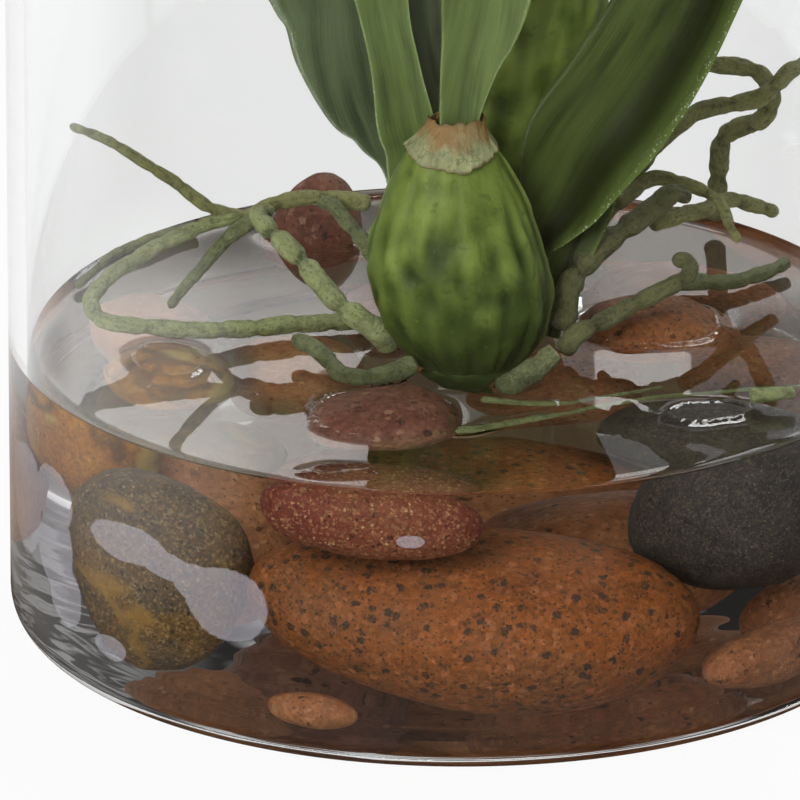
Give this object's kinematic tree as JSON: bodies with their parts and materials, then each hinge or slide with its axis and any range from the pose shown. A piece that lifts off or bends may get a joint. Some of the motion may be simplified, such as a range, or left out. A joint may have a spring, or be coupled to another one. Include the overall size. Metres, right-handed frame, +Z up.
{
  "type": "orchid in glass vase",
  "caption": "Orchid with pseudobulbs, leaves, air roots and a flower spike, set in clear cast water over river stones in a glass cylinder vase.",
  "frame": {"origin": "middle of the vase's flat underside, on its axis", "axes": "+Z up along the vase's axis; -Y towards the side that the front pseudobulb faces; +X to the right seen from that side"},
  "size_m": [0.2277, 0.2, 0.522],
  "materials": {
    "clear_glass": "clear polished glass, faintly grey-green at its thick foot",
    "clear_resin": "clear cast resin with a glossy flat top, like still water",
    "stone_speckled": "worn orange-brown granite with black and salmon specks",
    "stone_red": "worn red-brown stone with pale specks",
    "stone_olive": "worn olive-brown stone",
    "stone_black": "worn near-black stone with fine pale specks",
    "stone_yellow": "worn yellow-brown stone with pale patches",
    "stone_peach": "worn peach-coloured stone",
    "stone_orange": "worn orange-brown stone with dark specks",
    "bulb_green": "mid green with darker upright grooves, satin",
    "leaf_green": "grey-green leaf with a soft sheen",
    "leaf_dark": "dark grey-green glossy leaf",
    "root_green": "olive green, rough and knobbly",
    "husk_tan": "dry papery tan husk",
    "spike_green": "green stem, satin",
    "petal_cream": "cream white petal, soft",
    "lip_yellow": "yellow lip, soft"
  },
  "bodies": {
    "root": {"bloom_1": "petal_cream", "bloom_2": "petal_cream", "bloom_3": "petal_cream", "bloom_4": "petal_cream", "bud_1": "petal_cream", "bud_2": "petal_cream", "flower_spike": "spike_green", "glass_vase": "clear_glass", "husk_collar": "husk_tan", "leaf_back_left": "leaf_green", "leaf_back_right": "leaf_green", "leaf_far_left": "leaf_dark", "leaf_front": "leaf_green", "leaf_right": "leaf_green", "leaf_sheath_left": "leaf_green", "leaf_sheath_right": "leaf_green", "lip_1": "lip_yellow", "lip_2": "lip_yellow", "lip_3": "lip_yellow", "lip_4": "lip_yellow", "pseudobulb_back": "bulb_green", "pseudobulb_front": "bulb_green", "root_floating": "root_green", "root_fragment": "root_green", "root_left_arch": "root_green", "root_left_chain": "root_green", "root_left_hairpin": "root_green", "root_left_high": "root_green", "root_left_low": "root_green", "root_left_slant": "root_green", "root_left_wall": "root_green", "root_right_back": "root_green", "root_right_curl": "root_green", "root_right_high": "root_green", "root_right_hook": "root_green", "root_right_low": "root_green", "root_right_small": "root_green", "root_right_thick": "root_green", "root_strand_long": "root_green", "root_strand_short": "root_green", "root_stub": "root_green", "stone_back": "stone_peach", "stone_back_left": "stone_red", "stone_back_right": "stone_orange", "stone_black": "stone_black", "stone_far_left": "stone_red", "stone_low_right": "stone_orange", "stone_middle": "stone_orange", "stone_olive": "stone_olive", "stone_orange_wet": "stone_orange", "stone_peach": "stone_peach", "stone_red_oval": "stone_red", "stone_red_wet": "stone_red", "stone_right": "stone_orange", "stone_small": "stone_orange", "stone_speckled": "stone_speckled", "stone_tan": "stone_peach", "stone_under_right": "stone_orange", "stone_yellow": "stone_yellow", "water_fill": "clear_resin"}
  },
  "joints": []
}
